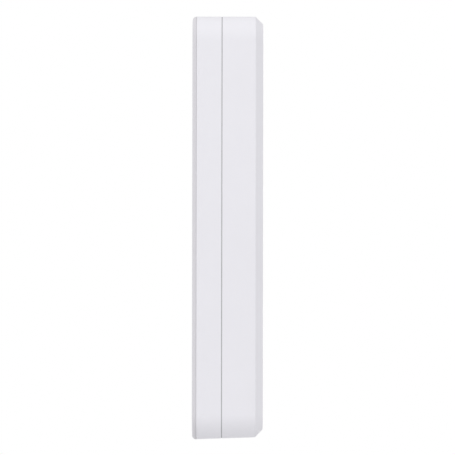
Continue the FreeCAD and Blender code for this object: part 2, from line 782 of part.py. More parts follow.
# Push button, its light ring, and the switch board behind it.
ring_back = face_back - D.light_ring_flange_thickness
light_ring = start("light_ring", 0, D.button_z)
ring_inner = D.button_radius + D.button_gap
turned(light_ring, [
    (ring_back, ring_inner),
    (ring_back, D.light_ring_flange),
    (face_back, D.light_ring_flange),
    (face_back, D.light_ring_outer),
    (D.body_depth - 0.1, D.light_ring_outer),
    (D.body_depth - 0.1, ring_inner + 0.2),
    (D.body_depth - 0.3, ring_inner),
])
cap_flange = ring_back - 0.05
flange_rear = cap_flange - D.button_flange_thickness
boss_rear = flange_rear - D.button_boss_height
cap = start("button_cap", 0, D.button_z)
turned(cap, [
    (boss_rear, 0),
    (boss_rear, D.button_boss_radius),
    (flange_rear, D.button_boss_radius),
    (flange_rear, D.button_flange),
    (cap_flange, D.button_flange),
    (cap_flange, D.button_radius),
    (D.body_depth - 0.6, D.button_radius),
    (D.body_depth - 0.2, D.button_radius - 0.5),
    (D.body_depth - 0.45, D.button_radius - 3.2),
    (D.body_depth - 0.6, D.button_radius - 6.4),
    (D.body_depth - 0.65, 0),
])
switch_board_back = board_front + D.button_stand_height
switch_board_front = switch_board_back + D.small_board_thickness
button_disc = (D.button_board_radius,)
block("button_board", switch_board_back, D.small_board_thickness, button_disc, 0, D.button_z)
stand = start("button_stand", 0, D.button_z)
raise_from(stand, board_front, D.button_stand_height, button_disc)
cut_from(stand, board_front, D.button_stand_height, (D.button_board_radius - D.button_stand_wall,))
plunger_back = switch_board_front + 0.3 + D.button_travel
block("switch_plunger", plunger_back, boss_rear - plunger_back, (D.plunger_radius,), 0, D.button_z)
switch = start("button_switch", 0, D.button_z)
switch_floor = 0.2
plunger_bore = D.plunger_radius + D.plunger_clearance
raise_from(switch, switch_board_front, D.button_switch_height, (D.button_switch_size, D.button_switch_size))
cut_from(switch, switch_board_front + switch_floor, D.button_switch_height - switch_floor, (plunger_bore,))
pad = start("button_return_pad", 0, D.button_z)
pad_height = flange_rear - switch_board_front
raise_from(pad, switch_board_front, pad_height, (D.return_pad_outer,))
cut_from(pad, switch_board_front, pad_height, (D.return_pad_inner,))
ring_lamps = start("ring_lamps", 0, D.button_z)
lamp_count = int(D.ring_lamp_count.value)
for step in range(lamp_count):
    angle = (step + 0.5) * math.tau / lamp_count
    x = D.ring_lamp_orbit * math.cos(angle)
    z = D.ring_lamp_orbit * math.sin(angle)
    raise_from(ring_lamps, switch_board_front, D.ring_lamp_height, (D.ring_lamp_size, D.ring_lamp_size), x, z)

# Speaker behind the grille slots.
speaker_back = board_front + D.speaker_lift
speaker_front = face_back - D.speaker_gasket_thickness
speaker_outer = (D.speaker_width, D.speaker_height, D.speaker_corner)
speaker_inner = (D.speaker_width - D.speaker_wall * 2, D.speaker_height - D.speaker_wall * 2, 2)
basket = start("speaker_frame", 0, D.speaker_z)
raise_from(basket, speaker_back, speaker_front - speaker_back, speaker_outer)
basket_floor = speaker_back + D.speaker_floor
cut_from(basket, basket_floor, speaker_front - basket_floor, speaker_inner)
cut_from(basket, speaker_back, D.speaker_floor, (D.magnet_width + D.fit_gap, D.magnet_height + D.fit_gap))
magnet_shape = (D.magnet_width, D.magnet_height)
block("speaker_magnet", board_front + 1.2, D.magnet_depth, magnet_shape, 0, D.speaker_z)
surround = start("speaker_surround", 0, D.speaker_z)
film_shape = (speaker_inner[0] - 0.05, speaker_inner[1] - 0.05, 1.97)
raise_from(surround, speaker_front - 1.4, 0.8, film_shape)
cut_from(surround, speaker_front - 1.4, 0.8, (D.speaker_width - 7, D.speaker_height - 7, 1.2))
cone = start("speaker_cone", 0, D.speaker_z)
raise_from(cone, speaker_front - 1.2, 0.4, (D.speaker_width - 7.02, D.speaker_height - 7.02, 1.19))
raise_from(cone, speaker_front - 0.8, 0.5, (7, 4, 1.9))
coil = start("voice_coil", 0, D.speaker_z)
coil_back = board_front + 5.9
raise_from(coil, coil_back, speaker_front - 1.2 - coil_back, (10, 5.4, 1))
cut_from(coil, coil_back, speaker_front - 1.2 - coil_back, (9, 4.4, 0.6))
gasket = start("speaker_gasket", 0, D.speaker_z)
raise_from(gasket, speaker_front, D.speaker_gasket_thickness, speaker_outer)
cut_from(gasket, speaker_front, D.speaker_gasket_thickness, speaker_inner)
block("speaker_mesh", face_back - D.mesh_thickness, D.mesh_thickness, film_shape, 0, D.speaker_z)
contacts = start("speaker_contacts", 0, D.speaker_z)
for side in (1, -1):
    raise_from(contacts, board_front, D.speaker_lift, (1.2, 2.4), 8.5 * side, 0)

# Main board and what is soldered to it.
board = start("main_board")
raise_from(board, D.board_depth, D.board_thickness, (D.board_width, D.board_height, 4))
for x, z in SCREW_SPOTS:
    cut_from(board, D.board_depth, D.board_thickness, (D.screw_radius + D.screw_clearance,), x, z)
can_back = D.board_depth - D.can_height
can_inner = D.can_size - D.can_wall * 2
can = start("shield_can", 0, D.can_z)
raise_from(can, can_back, D.can_height, (D.can_size, D.can_size, 1))
cut_from(can, can_back + D.can_wall, D.can_height - D.can_wall, (can_inner, can_inner, 0.7))
chips = start("processor_and_memory", 0, D.can_z)
raise_from(chips, D.board_depth - 1.2, 1.2, (12, 12), -2, 0)
raise_from(chips, D.board_depth - 1.0, 1.0, (4.5, 9), 7, 0)
block("chip_pad", D.board_depth - 1.8, 0.6, (11, 11), -2, D.can_z)
spreader = start("heat_spreader", 0, D.can_z + 2)
spreader_front = floor_front + 0.9
raise_from(spreader, floor_front, spreader_front - floor_front, (33, 36, 2))
block("can_pad", spreader_front, can_back - spreader_front, (16, 16), 0, D.can_z)
block("power_inductor", board_front, 4.5, (10, 10, 1.5), -11, -6)
capacitors = start("power_capacitors")
for z in (-7.5, 0.5):
    turned(capacitors, [
        (board_front, 0),
        (board_front, 3.15),
        (board_front + 7.0, 3.15),
        (board_front + 7.4, 2.75),
        (board_front + 7.4, 0),
    ], 12, z)
block("bridge_rectifier", board_front, 2.2, (8, 6), 0, -6)
links = start("board_connectors")
raise_from(links, board_front, camera_board_back - board_front, (10, 3), 0, D.camera_z - 5)
raise_from(links, board_front, frame_top - board_front, (6, 1.1), 0, D.camera_z + 9.68)
raise_from(links, board_front, D.button_stand_height, (8, 3), 0, D.button_z - 6)
cell = start("backup_cell", 0, -44)
raise_from(cell, floor_front, 2.9, (30, 16, 3))

# Terminals for the two bell wires.
terminal_back = D.floor_depth - D.terminal_plate_thickness
bushes = start("terminal_bushes", 0, D.terminal_z)
for side in (1, -1):
    spot = D.terminal_x * side
    clamp = (D.terminal_plate_size, D.terminal_plate_size, 1)
    screw_bore = D.terminal_screw_radius + D.terminal_bush_clearance
    raise_from(bushes, terminal_back, D.terminal_plate_thickness, clamp, spot, 0)
    raise_from(bushes, D.floor_depth, D.board_depth - D.floor_depth, (D.terminal_bush_radius,), spot, 0)
    cut_from(bushes, terminal_back, 5.4, (screw_bore,), spot, 0)
screws = start("terminal_screws", 0, D.terminal_z)
for side in (1, -1):
    spot = D.terminal_x * side
    turned(screws, [
        (terminal_back - 1.6, 0),
        (terminal_back - 1.6, 2.7),
        (terminal_back - 1.2, 3.1),
        (terminal_back, 3.1),
        (terminal_back, D.terminal_screw_radius),
        (terminal_back + 4.6, D.terminal_screw_radius),
        (terminal_back + 5.0, 1.1),
        (terminal_back + 5.0, 0),
    ], spot, 0)
    cut_from(screws, terminal_back - 1.6, 0.8, (4.4, 0.8), spot, 0)

# Service port, its rubber plug, and the reset button.
port = start("service_port", 0, D.port_z)
raise_from(port, D.floor_depth + 0.9, D.board_depth - D.floor_depth - 0.9, (9.4, 3.6, 1.7))
cut_from(port, D.floor_depth + 0.9, 3.4, (8.4, 2.6, 1.25))
plug = start("port_plug", 0, D.port_z)
raise_from(plug, D.floor_depth - 0.7, 0.7, (12, 6, 2.9))
raise_from(plug, D.floor_depth, 0.9, (9.7, 3.9, 1.8))
raise_from(plug, D.floor_depth + 0.9, 2.0, (8.3, 2.5, 1.2))
reset = start("reset_button", D.reset_x, D.port_z)
turned(reset, [
    (D.floor_depth - 0.3, 0),
    (D.floor_depth - 0.3, D.reset_radius - 0.2),
    (D.floor_depth - 0.1, D.reset_radius),
    (floor_front + 0.05, D.reset_radius),
    (floor_front + 0.05, 1.9),
    (floor_front + 0.6, 1.9),
    (floor_front + 0.6, 0.9),
    (floor_front + 1.2, 0.9),
    (floor_front + 1.2, 0),
])
block("reset_switch", D.board_depth - 1.7, 1.7, (4, 4), D.reset_x, D.port_z)

# Antenna strips on the inside of the front housing.
antennas = start("antennas")
for side in (1, -1):
    strip_x = (D.body_width / 2 - D.shell_wall - D.antenna_thickness / 2) * side
    strip = (D.antenna_thickness, D.antenna_length)
    raise_from(antennas, board_front + 1, D.antenna_width, strip, strip_x, D.antenna_z)

# Screws that join the housings through the main board, and the locking screw.
joining = start("housing_screws")
for x, z in SCREW_SPOTS:
    head = D.floor_depth - D.screw_head_height
    turned(joining, [
        (head, 0),
        (head, D.screw_head_radius - 0.4),
        (head + 0.4, D.screw_head_radius),
        (D.floor_depth, D.screw_head_radius),
        (D.floor_depth, D.screw_radius),
        (board_front + 6.6, D.screw_radius),
        (board_front + 7.2, 0.5),
        (board_front + 7.2, 0),
    ], x, z)
    cut_from(joining, head, 0.7, (2.8, 0.6), x, z)
    cut_from(joining, head, 0.7, (0.6, 2.8), x, z)
lock = start("locking_screw")
lock_foot = D.body_height / 2 - D.lock_head_inset
lock_head = sketch_on(lock, "XY_Plane", 0, -D.lock_depth, -lock_foot)
draw_disc(lock_head, D.lock_head_radius)
lock_head_pad = lock.newObject("PartDesign::Pad", "locking_screw_head")
lock_head_pad.Profile = lock_head
bind(lock_head_pad, "Length", D.lock_head_height)
lock_shank = sketch_on(lock, "XY_Plane", 0, -D.lock_depth, D.lock_head_height - lock_foot)
draw_disc(lock_shank, D.lock_radius)
lock_shank_pad = lock.newObject("PartDesign::Pad", "locking_screw_shank")
lock_shank_pad.Profile = lock_shank
bind(lock_shank_pad, "Length", D.lock_length)
lock_socket = sketch_on(lock, "XY_Plane", 0, -D.lock_depth, -lock_foot)
draw_disc(lock_socket, D.lock_socket_radius)
lock_socket_cut = lock.newObject("PartDesign::Pocket", "locking_screw_socket")
lock_socket_cut.Profile = lock_socket
lock_socket_cut.Reversed = True
bind(lock_socket_cut, "Length", D.lock_socket_depth)

doc.recompute()
faults = []
for item in doc.Objects:
    if any(word in ("Invalid", "Error") for word in item.State):
        faults.append(f"{item.Label}: {item.State}")
for body in made:
    if body.Shape.isNull() or not body.Shape.isValid() or not body.Shape.Solids:
        faults.append(f"{body.Label}: bad shape")
for fault in faults:
    print(fault)
if faults:
    raise SystemExit("the model has faults")

os.makedirs("parts", exist_ok=True)
for body in made:
    body.Shape.exportStep(f"parts/{body.Label}.step")
print(len(made), "parts written")
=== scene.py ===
import bmesh
import bpy
import json
import math
from mathutils import Euler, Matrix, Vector
from mathutils.geometry import delaunay_2d_cdt


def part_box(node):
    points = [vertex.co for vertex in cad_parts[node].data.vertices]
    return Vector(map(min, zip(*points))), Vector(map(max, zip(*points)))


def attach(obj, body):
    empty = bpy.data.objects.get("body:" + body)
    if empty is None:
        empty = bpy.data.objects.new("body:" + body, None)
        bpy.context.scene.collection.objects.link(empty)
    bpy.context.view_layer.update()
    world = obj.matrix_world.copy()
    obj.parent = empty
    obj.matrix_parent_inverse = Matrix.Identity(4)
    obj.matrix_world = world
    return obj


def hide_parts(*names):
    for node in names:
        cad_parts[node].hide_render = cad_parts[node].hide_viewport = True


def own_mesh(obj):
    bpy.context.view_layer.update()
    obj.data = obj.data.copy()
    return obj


# Video doorbell. Metres, +Z up, the wall at y = 0 and the face towards -Y.
# Depths are measured from the wall in millimetres, as in the CAD.

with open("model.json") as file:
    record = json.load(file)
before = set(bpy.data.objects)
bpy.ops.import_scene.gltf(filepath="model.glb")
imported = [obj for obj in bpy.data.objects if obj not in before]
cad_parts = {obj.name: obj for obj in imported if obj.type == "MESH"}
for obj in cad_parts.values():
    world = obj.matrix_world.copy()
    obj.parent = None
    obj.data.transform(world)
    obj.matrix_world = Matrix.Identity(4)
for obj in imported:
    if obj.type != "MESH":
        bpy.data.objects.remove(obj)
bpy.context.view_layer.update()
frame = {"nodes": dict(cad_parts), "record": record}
nodes = frame["nodes"]
MM = 0.001
WAVE_RATE = 20  # how far Blender's wave texture turns, in radians, over one unit at scale 1


# ---------------------------------------------------------------- materials

class Shader:
    """A node material with one Principled shader and short ways to feed it."""

    def __init__(self, name, rough, metal=0.0, specular=0.5, coat=0.0, coat_rough=0.05):
        self.material = bpy.data.materials.new(name)
        self.material.use_nodes = True
        self.tree = self.material.node_tree
        self.bsdf = self.tree.nodes["Principled BSDF"]
        self.set("Roughness", rough)
        self.set("Metallic", metal)
        self.set("Specular IOR Level", specular)
        self.set("Coat Weight", coat)
        self.set("Coat Roughness", coat_rough)
        self.place = self.add("ShaderNodeTexCoord").outputs["Object"]

    def add(self, kind, **props):
        node = self.tree.nodes.new(kind)
        for key, value in props.items():
            setattr(node, key, value)
        return node

    def link(self, source, target):
        self.tree.links.new(source, target)

    def set(self, socket, value):
        self.bsdf.inputs[socket].default_value = value

    def noise(self, size_mm, detail=2.0, rough=0.5, stretch=(1, 1, 1)):
        """Noise whose blotches are about size_mm across."""
        scale = self.add("ShaderNodeMapping")
        scale.inputs["Scale"].default_value = stretch
        self.link(self.place, scale.inputs["Vector"])
        noise = self.add("ShaderNodeTexNoise")
        noise.inputs["Scale"].default_value = 1 / (size_mm * MM)
        noise.inputs["Detail"].default_value = detail
        noise.inputs["Roughness"].default_value = rough
        self.link(scale.outputs["Vector"], noise.inputs["Vector"])
        return noise.outputs["Fac"]

    def cells(self, size_mm, feature="F1"):
        """Voronoi cells about size_mm across."""
        cells = self.add("ShaderNodeTexVoronoi", feature=feature)
        cells.inputs["Scale"].default_value = 1 / (size_mm * MM)
        self.link(self.place, cells.inputs["Vector"])
        return cells.outputs["Distance"]

    def rings(self, pitch_mm, node):
        """Fine turned rings about a CAD node's front-to-back middle line."""
        low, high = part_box(node)
        shift = self.add("ShaderNodeMapping")
        shift.inputs["Location"].default_value = (-(low.x + high.x) / 2, 0, -(low.z + high.z) / 2)
        self.link(self.place, shift.inputs["Vector"])
        wave = self.add("ShaderNodeTexWave", wave_type="RINGS", rings_direction="Y")
        wave.inputs["Scale"].default_value = math.tau / (WAVE_RATE * pitch_mm * MM)
        wave.inputs["Distortion"].default_value = 0.4
        self.link(shift.outputs["Vector"], wave.inputs["Vector"])
        return wave.outputs["Fac"]

    def ramp(self, fac, stops):
        """Colour stops along a 0 to 1 value."""
        ramp = self.add("ShaderNodeValToRGB")
        points = ramp.color_ramp.elements
        while len(points) < len(stops):
            points.new(0.5)
        for point, (at, colour) in zip(points, stops):
            point.position = at
            point.color = (*colour, 1)
        self.link(fac, ramp.inputs["Fac"])
        return ramp.outputs["Color"]

    def spread(self, fac, low, high):
        """Map a 0.3 to 0.7 noise value onto low to high."""
        spread = self.add("ShaderNodeMapRange")
        spread.inputs["From Min"].default_value = 0.3
        spread.inputs["From Max"].default_value = 0.7
        spread.inputs["To Min"].default_value = low
        spread.inputs["To Max"].default_value = high
        self.link(fac, spread.inputs["Value"])
        return spread.outputs["Result"]

    def colour(self, source):
        self.link(source, self.bsdf.inputs["Base Color"])

    def roughness(self, fac, low, high):
        self.link(self.spread(fac, low, high), self.bsdf.inputs["Roughness"])

    def bump(self, fac, depth_mm, strength=1.0):
        bump = self.add("ShaderNodeBump")
        bump.inputs["Distance"].default_value = depth_mm * MM
        bump.inputs["Strength"].default_value = strength
        self.link(fac, bump.inputs["Height"])
        self.link(bump.outputs["Normal"], self.bsdf.inputs["Normal"])


def tint(colour, factor):
    return tuple(min(1.0, c * factor) for c in colour)


def moulded(name, colour, rough, grain_mm=0.25, depth_mm=0.004, vary=0.02, **kind):
    """A moulded or painted surface: faint blotches, fine grain and uneven gloss."""
    s = Shader(name, rough, **kind)
    s.colour(s.ramp(s.noise(14), [(0.3, tint(colour, 1 - vary)), (0.7, tint(colour, 1 + vary))]))
    grain = s.noise(grain_mm, detail=3)
    s.roughness(grain, rough * 0.9, rough * 1.1)
    s.bump(grain, depth_mm)
    return s


def metal(name, colour, rough, pitch_mm=0.12, stretch=(1, 1, 14), depth_mm=0.003):
    """Plain metal with drawn or stamped streaks."""
    s = Shader(name, rough, metal=1.0)
    streak = s.noise(pitch_mm, detail=4, stretch=stretch)
    s.colour(s.ramp(streak, [(0.25, tint(colour, 0.9)), (0.75, tint(colour, 1.08))]))
    s.roughness(streak, rough * 0.8, rough * 1.25)
    s.bump(streak, depth_mm)
    return s


# Moulded surfaces: colour, roughness, grain size and depth in mm, and colour variation.
MOULDED = {
    "white_shell": ((0.82, 0.812, 0.856), 0.42, 0.22, 0.0035, 0.006),
    "plate_plastic": ((0.65, 0.638, 0.672), 0.30, 0.3, 0.003, 0.01),
    "button_plastic": ((0.80, 0.80, 0.825), 0.33, 0.2, 0.002, 0.006),
    "black_panel": ((0.006, 0.006, 0.007), 0.08, 2.5, 0.0004, 0.08),
    "black_plastic": ((0.025, 0.025, 0.027), 0.5, 0.2, 0.006, 0.1),
    "dark_rubber": ((0.04, 0.04, 0.042), 0.75, 0.3, 0.01, 0.1),
    # seal_rubber: a real seal between the shells, whose mid grey is also painted shade that darkens the
    # seam line
    "seal_rubber": ((0.42, 0.42, 0.43), 0.7, 0.3, 0.006, 0.04),
    "silicone": ((0.62, 0.62, 0.60), 0.55, 0.6, 0.004, 0.03),
    "connector_plastic": ((0.74, 0.70, 0.60), 0.45, 0.3, 0.004, 0.03),
    "chip": ((0.035, 0.036, 0.04), 0.55, 0.12, 0.005, 0.08),
    "milky_lens": ((0.70, 0.70, 0.69), 0.35, 0.3, 0.003, 0.01),
    "ring_diffuser": ((0.66, 0.70, 0.75), 0.28, 0.4, 0.002, 0.01),
    "thermal_pad": ((0.42, 0.52, 0.66), 0.8, 0.5, 0.02, 0.05),
    "ferrite": ((0.10, 0.10, 0.105), 0.6, 0.25, 0.012, 0.12),
    "cone_film": ((0.05, 0.05, 0.055), 0.35, 1.2, 0.004, 0.1),
}

# Plain metals: colour and roughness.
METALS = {
    "magnet_metal": ((0.55, 0.55, 0.57), 0.22),
    "can_steel": ((0.62, 0.61, 0.58), 0.34),
    "screw_steel": ((0.58, 0.58, 0.57), 0.3),
    "brass_contact": ((0.75, 0.52, 0.2), 0.3),
    "copper_wire": ((0.72, 0.32, 0.14), 0.35),
    "heat_aluminium": ((0.74, 0.74, 0.75), 0.38),
    "antenna_film": ((0.68, 0.40, 0.18), 0.4),
    "capacitor_sleeve": ((0.09, 0.11, 0.24), 0.35),
}


def ring_metal():
    """Dark turned metal for the lens ring."""
    s = Shader("dark_metal", 0.32, metal=1.0)
    turned = s.rings(0.16, "lens_ring")
    s.colour(s.ramp(turned, [(0.0, (0.10, 0.10, 0.11)), (1.0, (0.17, 0.17, 0.185))]))
    s.roughness(s.noise(0.5), 0.26, 0.36)
    s.bump(turned, 0.003)
    return s


def circuit():
    """Green solder mask over copper tracks."""
    s = Shader("circuit_board", 0.35)
    tracks = s.add("ShaderNodeTexBrick", offset=0.5)
    tracks.inputs["Scale"].default_value = 260
    tracks.inputs["Mortar Size"].default_value = 0.05
    tracks.inputs["Brick Width"].default_value = 1.1
    tracks.inputs["Row Height"].default_value = 0.3
    flat = s.add("ShaderNodeMapping")
    flat.inputs["Rotation"].default_value = (math.pi / 2, 0, 0)
    s.link(s.place, flat.inputs["Vector"])
    s.link(flat.outputs["Vector"], tracks.inputs["Vector"])
    tracks.inputs["Color1"].default_value = (0.012, 0.10, 0.05, 1)
    tracks.inputs["Color2"].default_value = (0.014, 0.12, 0.055, 1)
    tracks.inputs["Mortar"].default_value = (0.03, 0.20, 0.09, 1)
    s.colour(tracks.outputs["Color"])
    s.roughness(s.noise(0.8), 0.28, 0.42)
    s.bump(tracks.outputs["Fac"], 0.02)
    return s


def woven():
    """A fine dark mesh: two crossed waves."""
    s = Shader("dark_mesh", 0.7)
    bands = []
    for axis in ("X", "Z"):
        wave = s.add("ShaderNodeTexWave", wave_type="BANDS", bands_direction=axis)
        wave.inputs["Scale"].default_value = 900
        s.link(s.place, wave.inputs["Vector"])
        bands.append(wave.outputs["Fac"])
    both = s.add("ShaderNodeMath", operation="MULTIPLY")
    s.link(bands[0], both.inputs[0])
    s.link(bands[1], both.inputs[1])
    s.colour(s.ramp(both.outputs[0], [(0.2, (0.055, 0.055, 0.06)), (0.7, (0.008, 0.008, 0.009))]))
    s.bump(both.outputs[0], 0.06)
    return s


def foam():
    """Open-cell foam. Its colour carries painted shade: darker towards the middle of each cell, where the
    bump sinks into a pit.
    """
    s = Shader("foam", 0.9, specular=0.2)
    cells = s.cells(0.45)
    # painted shade in the pores: darker where the cell distance, and so the bump, is lowest
    s.colour(s.ramp(cells, [(0.1, (0.025, 0.025, 0.028)), (0.6, (0.09, 0.09, 0.095))]))
    s.roughness(cells, 0.8, 0.95)
    s.bump(cells, 0.15)
    return s


def glassy(name, colour, rough, through, bend=1.5, vary=0.04):
    """Clear or tinted glass and resin."""
    s = Shader(name, rough)
    s.set("IOR", bend)
    s.set("Transmission Weight", through)
    s.colour(s.ramp(s.noise(6), [(0.3, tint(colour, 1 - vary)), (0.7, tint(colour, 1 + vary))]))
    if rough:
        s.roughness(s.noise(3), rough * 0.8, rough * 1.2)
    return s


def coated_lens():
    """A deep dark lens with a violet anti-reflection coating. Its near-black colour carries a faint
    blue-violet ring of painted reflection about a millimetre from the middle.
    """
    s = Shader("lens_coating", 0.03, specular=0.35, coat=0.3, coat_rough=0.02)
    s.set("Coat Tint", (0.55, 0.45, 1.0, 1))
    s.set("Specular Tint", (0.55, 0.5, 1.0, 1))
    low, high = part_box("lens_element")
    spread = 1 / (4 * MM)
    centre = s.add("ShaderNodeMapping")
    centre.inputs["Location"].default_value = (low + high) / 2 * -spread
    centre.inputs["Scale"].default_value = (spread, spread, spread)
    s.link(s.place, centre.inputs["Vector"])
    depth = s.add("ShaderNodeTexGradient", gradient_type="SPHERICAL")
    s.link(centre.outputs["Vector"], depth.inputs["Vector"])
    # painted reflection: a faint blue-violet ring about a millimetre from the middle, on a near-black lens
    s.colour(s.ramp(depth.outputs["Fac"], [
        (0.0, (0.002, 0.002, 0.004)),
        (0.45, (0.006, 0.005, 0.022)),
        (0.75, (0.010, 0.014, 0.036)),
        (1.0, (0.002, 0.003, 0.008)),
    ]))
    s.roughness(s.noise(2), 0.02, 0.05)
    return s


M = {name: moulded(name, *look) for name, look in MOULDED.items()}
M |= {name: metal(name, *look) for name, look in METALS.items()}
M["barrel_black"] = moulded("barrel_black", (0.008, 0.008, 0.009), 0.42, 0.2, 0.004, 0.1, specular=0.25)
M["cell_wrap"] = metal("cell_wrap", (0.5, 0.51, 0.54), 0.4, pitch_mm=1.5, stretch=(1, 1, 1), depth_mm=0.02)
M["dark_metal"] = ring_metal()
M["circuit_board"] = circuit()
M["dark_mesh"] = woven()
M["foam"] = foam()
M["lens_glass"] = glassy("lens_glass", (0.92, 0.94, 0.96), 0.0, 1.0, 1.33, 0.02)
M["lens_coating"] = coated_lens()
M["filter_glass"] = glassy("filter_glass", (0.45, 0.75, 0.8), 0.03, 0.9)
M["lamp_resin"] = glassy("lamp_resin", (0.6, 0.55, 0.68), 0.06, 0.7)
M["clear_pipe"] = glassy("clear_pipe", (0.85, 0.88, 0.9), 0.15, 0.8)

SLOT_FOR = {"lens_coating": "lens_glass", "barrel_black": "black_plastic"}
slot_of = {entry["node"]: entry["material_slot"] for entry in frame["record"]["subparts"]}
for name, node in nodes.items():
    look = M[slot_of[name]].material
    node.data.materials.clear()
    node.data.materials.append(look)


# ---------------------------------------------------------------- shapes

def soften(obj, width_mm, angle=28, segments=2):
    """Round the hard edges a little and keep the flats flat."""
    bevel = obj.modifiers.new("edge_rounding", "BEVEL")
    bevel.width = width_mm * MM
    bevel.segments = segments
    bevel.limit_method = "ANGLE"
    bevel.angle_limit = math.radians(angle)
    for face in obj.data.polygons:
        face.use_smooth = True
    flats = obj.modifiers.new("flat_normals", "WEIGHTED_NORMAL")
    flats.keep_sharp = True
    flats.weight = 80


def eased(profile, steps=4):
    """Round the corners of a profile of (depth, size, radius) points."""
    spots = [Vector(p[:2]) for p in profile]
    line = [spots[0]]
    for before, spot, after, point in zip(spots, spots[1:], spots[2:], profile[1:]):
        radius = point[2] if len(point) > 2 else 0
        if not radius:
            line.append(spot)
            continue
        first = spot + (before - spot).normalized() * radius
        second = spot + (after - spot).normalized() * radius
        for i in range(steps + 1):
            t = i / steps
            line.append(first * (1 - t) ** 2 + spot * 2 * t * (1 - t) + second * t ** 2)
    line.append(spots[-1])
    return line


def slab(width, height, corner, x=0.0, z=0.0, steps=12):
    """A round-cornered outline as a function of depth and growth."""
    def ring(depth, grow):
        half_w, half_h, r = width / 2 + grow, height / 2 + grow, corner + grow
        points = []
        for turn in range(4):
            sx, sz = ((1, -1), (1, 1), (-1, 1), (-1, -1))[turn]
            for i in range(steps + 1):
                angle = (turn - 1 + i / steps) * math.pi / 2
                points.append((
                    x + sx * (half_w - r) + r * math.cos(angle),
                    -depth,
                    z + sz * (half_h - r) + r * math.sin(angle),
                ))
        return points
    return ring


def disc(radius, x=0.0, z=0.0, steps=96):
    """A circle as a function of depth and growth."""
    def ring(depth, grow):
        angles = [math.tau * i / steps for i in range(steps)]
        r = radius + grow
        return [(x + r * math.cos(a), -depth, z + r * math.sin(a)) for a in angles]
    return ring


def shell_outline(depth, grow):
    """The doorbell's outline, whose underside rises towards the front."""
    rise = depth * SLOPE
    return slab(WIDTH, HEIGHT - rise, CORNER, 0, rise / 2, 16)(depth, grow)


def surrounds(outline, spot):
    """True if a flat outline goes round a spot."""
    inside = False
    for (x1, z1), (x2, z2) in zip(outline, outline[1:] + outline[:1]):
        if (z1 > spot[1]) != (z2 > spot[1]):
            if spot[0] < x1 + (spot[1] - z1) / (z2 - z1) * (x2 - x1):
                inside = not inside
    return inside


class Builder:
    """Collects rings and flat faces into one closed mesh. Sizes are in millimetres."""

    def __init__(self):
        self.bm = bmesh.new()

    def loop(self, points):
        return [self.bm.verts.new(Vector(p) * MM) for p in points]

    def sweep(self, ring, profile, steps=4):
        """Join rings along a profile, and give back the first and last."""
        loops = [self.loop(ring(d, g)) for d, g in eased(profile, steps)]
        for a, b in zip(loops, loops[1:]):
            for i in range(len(a)):
                j = (i + 1) % len(a)
                self.bm.faces.new((a[i], a[j], b[j], b[i]))
        return loops[0], loops[-1]

    def flat(self, outer, holes=()):
        """Fill a flat region between an outline and its holes."""
        verts = list(outer)
        edges = [(i, (i + 1) % len(outer)) for i in range(len(outer))]
        for hole in holes:
            base = len(verts)
            edges += [(base + i, base + (i + 1) % len(hole)) for i in range(len(hole))]
            verts += hole
        spots = [Vector((v.co.x, v.co.z)) / MM for v in verts]
        result = delaunay_2d_cdt(spots, edges, [], 1, 1e-5)
        gaps = [[(v.co.x / MM, v.co.z / MM) for v in hole] for hole in holes]
        for face in result[2]:
            centre = sum((result[0][i] for i in face), Vector((0, 0))) / 3
            if not any(surrounds(gap, centre) for gap in gaps):
                self.bm.faces.new([verts[result[3][i][0]] for i in face])

    def turned(self, profile, x=0.0, z=0.0, steps=96, ease=4):
        """A turned solid: the profile is (depth, radius, rounding), closed on itself."""
        first, last = self.sweep(disc(0, x, z, steps), profile, ease)
        for a, b in zip(zip(first, first[1:] + first[:1]), zip(last, last[1:] + last[:1])):
            if (a[0].co - b[0].co).length > 1e-9:
                self.bm.faces.new((a[1], a[0], b[0], b[1]))

    def tube(self, x, z, outer, inner, back, front, steps=32):
        """A plain post with a bore."""
        self.turned([
            (back, inner), (back, outer), (front, outer), (front, inner), (back, inner),
        ], x, z, steps)

    def finish(self, name, look, body, *stands_for, sharp=35):
        """Make the object, ride it on its body and let it stand for CAD nodes."""
        bmesh.ops.remove_doubles(self.bm, verts=self.bm.verts, dist=1e-8)
        bmesh.ops.dissolve_degenerate(self.bm, edges=self.bm.edges, dist=1e-8)
        bmesh.ops.recalc_face_normals(self.bm, faces=self.bm.faces)
        mesh = bpy.data.meshes.new(name)
        self.bm.to_mesh(mesh)
        self.bm.free()
        for face in mesh.polygons:
            face.use_smooth = True
        mesh.set_sharp_from_angle(angle=math.radians(sharp))
        mesh.materials.append(M[look].material)
        piece = bpy.data.objects.new(name, mesh)
        bpy.context.scene.collection.objects.link(piece)
        flats = piece.modifiers.new("flat_normals", "WEIGHTED_NORMAL")
        flats.keep_sharp = True
        flats.weight = 80
        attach(piece, body)
        SLOT_FOR.get(look, look)
        if stands_for:
            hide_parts(*stands_for)
        return piece


def depths(node):
    """How far a CAD node's back and front are from the wall, in millimetres."""
    low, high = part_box(node)
    return -high.y / MM, -low.y / MM


def middle(node):
    """The x and z of a CAD node's middle, in millimetres."""
    low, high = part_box(node)
    return (low.x + high.x) / 2 / MM, (low.z + high.z) / 2 / MM


def size(node):
    """A CAD node's width and height, in millimetres."""
    low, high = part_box(node)
    return (high.x - low.x) / MM, (high.z - low.z) / MM


# ---------------------------------------------------------------- sizes

